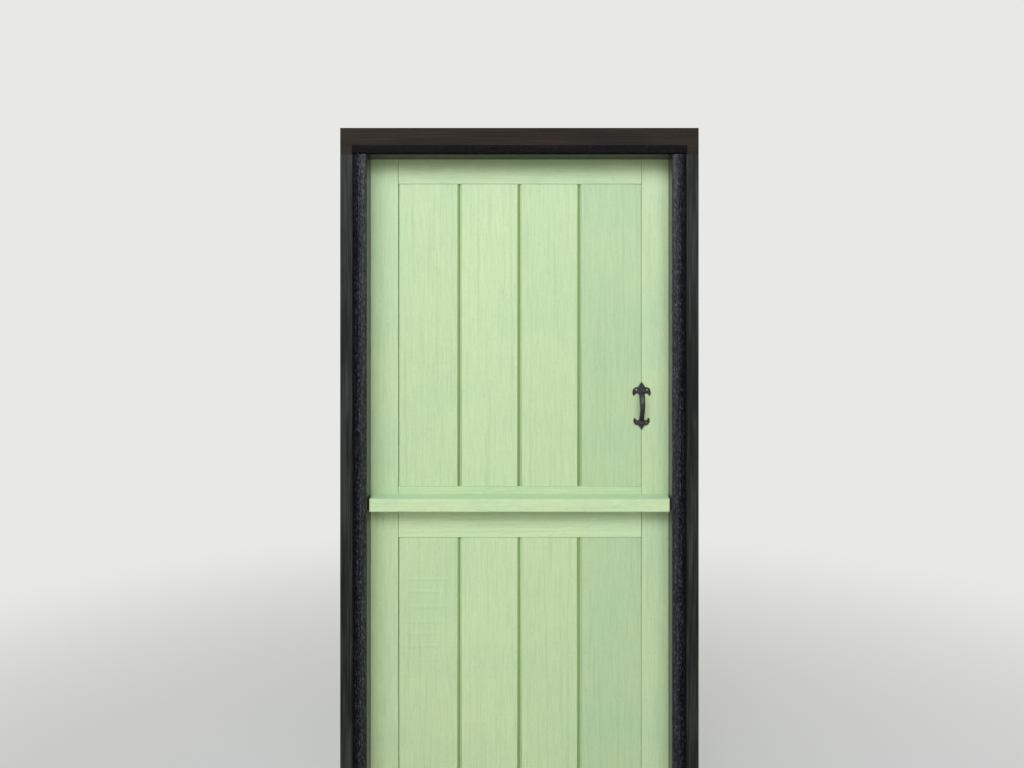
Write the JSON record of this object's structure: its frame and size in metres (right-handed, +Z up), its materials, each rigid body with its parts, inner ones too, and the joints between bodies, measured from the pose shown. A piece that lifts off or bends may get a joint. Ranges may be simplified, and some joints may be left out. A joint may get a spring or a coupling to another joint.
{
  "type": "stable door with frame",
  "caption": "Timber stable door in its frame: two boarded leaves, one above the other, that swing inwards on butt hinges, with a horned pull handle, barrel bolts and a weather bar.",
  "frame": {"origin": "on the sill's underside, midway between the jambs, level with the frame's outer face", "axes": "+Z up, +Y into the building through the doorway, +X to the right seen from outside, towards the latch side"},
  "size_m": [0.955, 0.1576, 2.1015],
  "materials": {
    "frame_paint": "rough sawn timber under worn black paint, satin",
    "leaf_paint": "softwood boards under satin sage green paint",
    "handle_iron": "black waxed hammered iron",
    "handle_screws": "dull steel screw heads",
    "hinge_steel": "zinc plated steel",
    "hinge_screws": "zinc plated steel",
    "bolt_cases": "satin black japanned steel",
    "bolt_bars": "satin black japanned steel, worn along the slide",
    "bolt_screws": "black japanned steel"
  },
  "bodies": {
    "frame": {"frame_hinge_screws": "hinge_screws", "frame_keep_screws": "bolt_screws", "head": "frame_paint", "hinge_jamb": "frame_paint", "latch_jamb": "frame_paint", "lower_bolt_keep": "bolt_cases", "lower_leaf_low_hinge_frame_plate": "hinge_steel", "lower_leaf_low_hinge_pin": "hinge_steel", "lower_leaf_top_hinge_frame_plate": "hinge_steel", "lower_leaf_top_hinge_pin": "hinge_steel", "sill": "frame_paint", "upper_bolt_keep": "bolt_cases", "upper_leaf_low_hinge_frame_plate": "hinge_steel", "upper_leaf_low_hinge_pin": "hinge_steel", "upper_leaf_top_hinge_frame_plate": "hinge_steel", "upper_leaf_top_hinge_pin": "hinge_steel"},
    "upper_leaf": {"handle_screws": "handle_screws", "linking_bolt_case": "bolt_cases", "pull_handle": "handle_iron", "upper_board_1": "leaf_paint", "upper_board_2": "leaf_paint", "upper_board_3": "leaf_paint", "upper_board_4": "leaf_paint", "upper_bolt_case": "bolt_cases", "upper_bolt_screws": "bolt_screws", "upper_bottom_rail": "leaf_paint", "upper_brace": "leaf_paint", "upper_hinge_screws": "hinge_screws", "upper_hinge_stile": "leaf_paint", "upper_latch_stile": "leaf_paint", "upper_leaf_low_hinge_leaf_plate": "hinge_steel", "upper_leaf_top_hinge_leaf_plate": "hinge_steel", "upper_top_rail": "leaf_paint", "weather_bar": "leaf_paint"},
    "lower_leaf": {"linking_bolt_keep": "bolt_cases", "lower_board_1": "leaf_paint", "lower_board_2": "leaf_paint", "lower_board_3": "leaf_paint", "lower_board_4": "leaf_paint", "lower_bolt_case": "bolt_cases", "lower_bolt_screws": "bolt_screws", "lower_bottom_rail": "leaf_paint", "lower_brace": "leaf_paint", "lower_hinge_screws": "hinge_screws", "lower_hinge_stile": "leaf_paint", "lower_latch_stile": "leaf_paint", "lower_leaf_low_hinge_leaf_plate": "hinge_steel", "lower_leaf_top_hinge_leaf_plate": "hinge_steel", "lower_top_rail": "leaf_paint"},
    "upper_bolt": {"upper_bolt_bar": "bolt_bars"},
    "lower_bolt": {"lower_bolt_bar": "bolt_bars"},
    "linking_bolt": {"linking_bolt_bar": "bolt_bars"}
  },
  "joints": [
    {"name": "upper_leaf_swing", "type": "hinge", "parent": "frame", "child": "upper_leaf", "pos_m": [-0.4205, 0.106, 1.5598], "axis": [0, 0, 1], "range_deg": [0, 100]},
    {"name": "lower_leaf_swing", "type": "hinge", "parent": "frame", "child": "lower_leaf", "pos_m": [-0.4205, 0.106, 0.5678], "axis": [0, 0, 1], "range_deg": [0, 100]},
    {"name": "upper_bolt_slide", "type": "slide", "parent": "upper_leaf", "child": "upper_bolt", "axis": [1, 0, 0], "range_m": [0, 0.026]},
    {"name": "lower_bolt_slide", "type": "slide", "parent": "lower_leaf", "child": "lower_bolt", "axis": [1, 0, 0], "range_m": [0, 0.026]},
    {"name": "linking_bolt_slide", "type": "slide", "parent": "upper_leaf", "child": "linking_bolt", "axis": [0, 0, -1], "range_m": [0, 0.026]}
  ]
}
